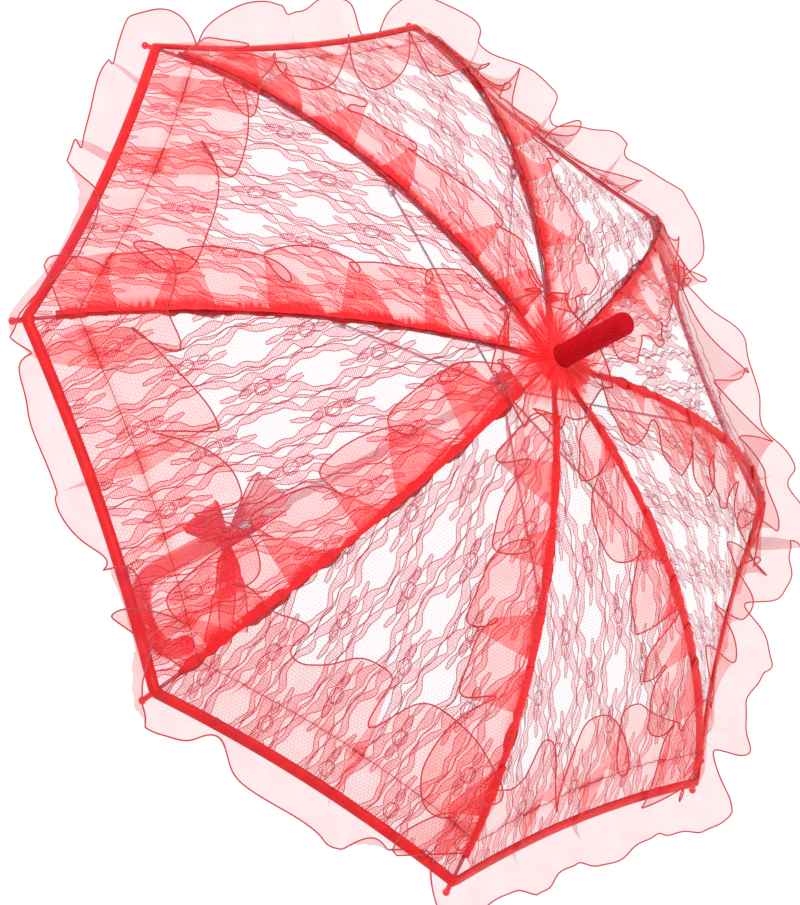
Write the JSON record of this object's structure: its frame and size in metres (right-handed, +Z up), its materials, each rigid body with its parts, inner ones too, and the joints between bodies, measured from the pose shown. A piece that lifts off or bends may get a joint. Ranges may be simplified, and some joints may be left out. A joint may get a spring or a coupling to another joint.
{
  "type": "lace parasol",
  "caption": "Folding lace parasol, shown open: sheer ruffled canopy on a wire rib frame, tube shaft with sliding runner, and a crook handle with a ribbon bow.",
  "frame": {"origin": "middle of the straight grip, on the shaft's axis", "axes": "+Z up the shaft to the ferrule; +X is the way the crook points"},
  "size_m": [0.7378, 0.7378, 0.6888],
  "materials": {
    "shaft_steel": "nickel-plated tube, satin",
    "frame_steel": "dull plated wire",
    "spring_steel": "polished spring steel",
    "hub_metal": "zinc-plated pressing",
    "handle_plastic": "glossy red moulded plastic",
    "tip_plastic": "glossy red moulded plastic",
    "ferrule_wrap": "dark red net wrapped round the ferrule",
    "red_lace": "flower and scallop lace on a fine hexagon net",
    "red_organza": "sheer crisp organza with an overlocked edge"
  },
  "bodies": {
    "shaft_and_handle": {"shaft": "shaft_steel", "crook_handle": "handle_plastic", "top_notch": "hub_metal", "notch_wire": "frame_steel", "ferrule_sleeve": "ferrule_wrap", "crown_rosette": "red_organza", "ribbon_bow": "red_organza", "stop_pin": "hub_metal"},
    "runner": {"runner": "hub_metal", "runner_wire": "frame_steel"},
    "top_spring": {"top_spring": "spring_steel"},
    "bottom_spring": {"bottom_spring": "spring_steel"},
    "rib_1": {"rib_1": "frame_steel", "rib_tip_1": "tip_plastic", "lace_1": "red_lace", "hem_ruffle_1": "red_organza", "rib_ruffle_1": "red_organza"},
    "stretcher_1": {"stretcher_1": "frame_steel"},
    "rib_2": {"rib_2": "frame_steel", "rib_tip_2": "tip_plastic", "lace_2": "red_lace", "hem_ruffle_2": "red_organza", "rib_ruffle_2": "red_organza"},
    "stretcher_2": {"stretcher_2": "frame_steel"},
    "rib_3": {"rib_3": "frame_steel", "rib_tip_3": "tip_plastic", "lace_3": "red_lace", "hem_ruffle_3": "red_organza", "rib_ruffle_3": "red_organza"},
    "stretcher_3": {"stretcher_3": "frame_steel"},
    "rib_4": {"rib_4": "frame_steel", "rib_tip_4": "tip_plastic", "lace_4": "red_lace", "hem_ruffle_4": "red_organza", "rib_ruffle_4": "red_organza"},
    "stretcher_4": {"stretcher_4": "frame_steel"},
    "rib_5": {"rib_5": "frame_steel", "rib_tip_5": "tip_plastic", "lace_5": "red_lace", "hem_ruffle_5": "red_organza", "rib_ruffle_5": "red_organza"},
    "stretcher_5": {"stretcher_5": "frame_steel"},
    "rib_6": {"rib_6": "frame_steel", "rib_tip_6": "tip_plastic", "lace_6": "red_lace", "hem_ruffle_6": "red_organza", "rib_ruffle_6": "red_organza"},
    "stretcher_6": {"stretcher_6": "frame_steel"},
    "rib_7": {"rib_7": "frame_steel", "rib_tip_7": "tip_plastic", "lace_7": "red_lace", "hem_ruffle_7": "red_organza", "rib_ruffle_7": "red_organza"},
    "stretcher_7": {"stretcher_7": "frame_steel"},
    "rib_8": {"rib_8": "frame_steel", "rib_tip_8": "tip_plastic", "lace_8": "red_lace", "hem_ruffle_8": "red_organza", "rib_ruffle_8": "red_organza"},
    "stretcher_8": {"stretcher_8": "frame_steel"}
  },
  "joints": [
    {"name": "runner_slide", "type": "slide", "parent": "shaft_and_handle", "child": "runner", "axis": [0, 0, -1], "range_m": [0, 0.26722]},
    {"name": "rib_hinge_1", "type": "hinge", "parent": "shaft_and_handle", "child": "rib_1", "pos_m": [-0.00831, -0.00344, 0.50321], "axis": [0.3827, -0.9239, 0], "range_deg": [0, 62.1], "deforming": ["lace_1", "hem_ruffle_1", "rib_ruffle_1"]},
    {"name": "stretcher_hinge_1", "type": "hinge", "parent": "rib_1", "child": "stretcher_1", "pos_m": [-0.16353, -0.06774, 0.47546], "axis": [0.3827, -0.9239, 0], "range_deg": [-124.2, 0]},
    {"name": "rib_hinge_2", "type": "hinge", "parent": "shaft_and_handle", "child": "rib_2", "pos_m": [-0.00344, -0.00831, 0.50321], "axis": [0.9239, -0.3827, 0], "range_deg": [0, 62.1], "deforming": ["lace_2", "hem_ruffle_2", "rib_ruffle_2"]},
    {"name": "stretcher_hinge_2", "type": "hinge", "parent": "rib_2", "child": "stretcher_2", "pos_m": [-0.06774, -0.16353, 0.47546], "axis": [0.9239, -0.3827, 0], "range_deg": [-124.2, 0]},
    {"name": "rib_hinge_3", "type": "hinge", "parent": "shaft_and_handle", "child": "rib_3", "pos_m": [0.00344, -0.00831, 0.50321], "axis": [0.9239, 0.3827, 0], "range_deg": [0, 62.1], "deforming": ["lace_3", "hem_ruffle_3", "rib_ruffle_3"]},
    {"name": "stretcher_hinge_3", "type": "hinge", "parent": "rib_3", "child": "stretcher_3", "pos_m": [0.06774, -0.16353, 0.47546], "axis": [0.9239, 0.3827, 0], "range_deg": [-124.2, 0]},
    {"name": "rib_hinge_4", "type": "hinge", "parent": "shaft_and_handle", "child": "rib_4", "pos_m": [0.00831, -0.00344, 0.50321], "axis": [0.3827, 0.9239, 0], "range_deg": [0, 62.1], "deforming": ["lace_4", "hem_ruffle_4", "rib_ruffle_4"]},
    {"name": "stretcher_hinge_4", "type": "hinge", "parent": "rib_4", "child": "stretcher_4", "pos_m": [0.16353, -0.06774, 0.47546], "axis": [0.3827, 0.9239, 0], "range_deg": [-124.2, 0]},
    {"name": "rib_hinge_5", "type": "hinge", "parent": "shaft_and_handle", "child": "rib_5", "pos_m": [0.00831, 0.00344, 0.50321], "axis": [-0.3827, 0.9239, 0], "range_deg": [0, 62.1], "deforming": ["lace_5", "hem_ruffle_5", "rib_ruffle_5"]},
    {"name": "stretcher_hinge_5", "type": "hinge", "parent": "rib_5", "child": "stretcher_5", "pos_m": [0.16353, 0.06774, 0.47546], "axis": [-0.3827, 0.9239, 0], "range_deg": [-124.2, 0]},
    {"name": "rib_hinge_6", "type": "hinge", "parent": "shaft_and_handle", "child": "rib_6", "pos_m": [0.00344, 0.00831, 0.50321], "axis": [-0.9239, 0.3827, 0], "range_deg": [0, 62.1], "deforming": ["lace_6", "hem_ruffle_6", "rib_ruffle_6"]},
    {"name": "stretcher_hinge_6", "type": "hinge", "parent": "rib_6", "child": "stretcher_6", "pos_m": [0.06774, 0.16353, 0.47546], "axis": [-0.9239, 0.3827, 0], "range_deg": [-124.2, 0]},
    {"name": "rib_hinge_7", "type": "hinge", "parent": "shaft_and_handle", "child": "rib_7", "pos_m": [-0.00344, 0.00831, 0.50321], "axis": [-0.9239, -0.3827, 0], "range_deg": [0, 62.1], "deforming": ["lace_7", "hem_ruffle_7", "rib_ruffle_7"]},
    {"name": "stretcher_hinge_7", "type": "hinge", "parent": "rib_7", "child": "stretcher_7", "pos_m": [-0.06774, 0.16353, 0.47546], "axis": [-0.9239, -0.3827, 0], "range_deg": [-124.2, 0]},
    {"name": "rib_hinge_8", "type": "hinge", "parent": "shaft_and_handle", "child": "rib_8", "pos_m": [-0.00831, 0.00344, 0.50321], "axis": [-0.3827, -0.9239, 0], "range_deg": [0, 62.1], "deforming": ["lace_8", "hem_ruffle_8", "rib_ruffle_8"]},
    {"name": "stretcher_hinge_8", "type": "hinge", "parent": "rib_8", "child": "stretcher_8", "pos_m": [-0.16353, 0.06774, 0.47546], "axis": [-0.3827, -0.9239, 0], "range_deg": [-124.2, 0]},
    {"name": "top_spring_press", "type": "hinge", "parent": "shaft_and_handle", "child": "top_spring", "pos_m": [0.002, 0, 0.3751], "axis": [0, -1, 0], "range_deg": [0, 5.2], "stiffness_Nm_per_rad": 0.6, "deforming": ["top_spring"]},
    {"name": "bottom_spring_press", "type": "hinge", "parent": "shaft_and_handle", "child": "bottom_spring", "pos_m": [0.002, 0, 0.11798], "axis": [0, -1, 0], "range_deg": [0, 5.2], "stiffness_Nm_per_rad": 0.6, "deforming": ["bottom_spring"]}
  ],
  "couplings": [
    {"joint": "rib_hinge_1", "follows": "runner_slide", "rad_per_m": 4.0495},
    {"joint": "stretcher_hinge_1", "follows": "runner_slide", "rad_per_m": -8.099},
    {"joint": "rib_hinge_2", "follows": "runner_slide", "rad_per_m": 4.0495},
    {"joint": "stretcher_hinge_2", "follows": "runner_slide", "rad_per_m": -8.099},
    {"joint": "rib_hinge_3", "follows": "runner_slide", "rad_per_m": 4.0495},
    {"joint": "stretcher_hinge_3", "follows": "runner_slide", "rad_per_m": -8.099},
    {"joint": "rib_hinge_4", "follows": "runner_slide", "rad_per_m": 4.0495},
    {"joint": "stretcher_hinge_4", "follows": "runner_slide", "rad_per_m": -8.099},
    {"joint": "rib_hinge_5", "follows": "runner_slide", "rad_per_m": 4.0495},
    {"joint": "stretcher_hinge_5", "follows": "runner_slide", "rad_per_m": -8.099},
    {"joint": "rib_hinge_6", "follows": "runner_slide", "rad_per_m": 4.0495},
    {"joint": "stretcher_hinge_6", "follows": "runner_slide", "rad_per_m": -8.099},
    {"joint": "rib_hinge_7", "follows": "runner_slide", "rad_per_m": 4.0495},
    {"joint": "stretcher_hinge_7", "follows": "runner_slide", "rad_per_m": -8.099},
    {"joint": "rib_hinge_8", "follows": "runner_slide", "rad_per_m": 4.0495},
    {"joint": "stretcher_hinge_8", "follows": "runner_slide", "rad_per_m": -8.099}
  ]
}
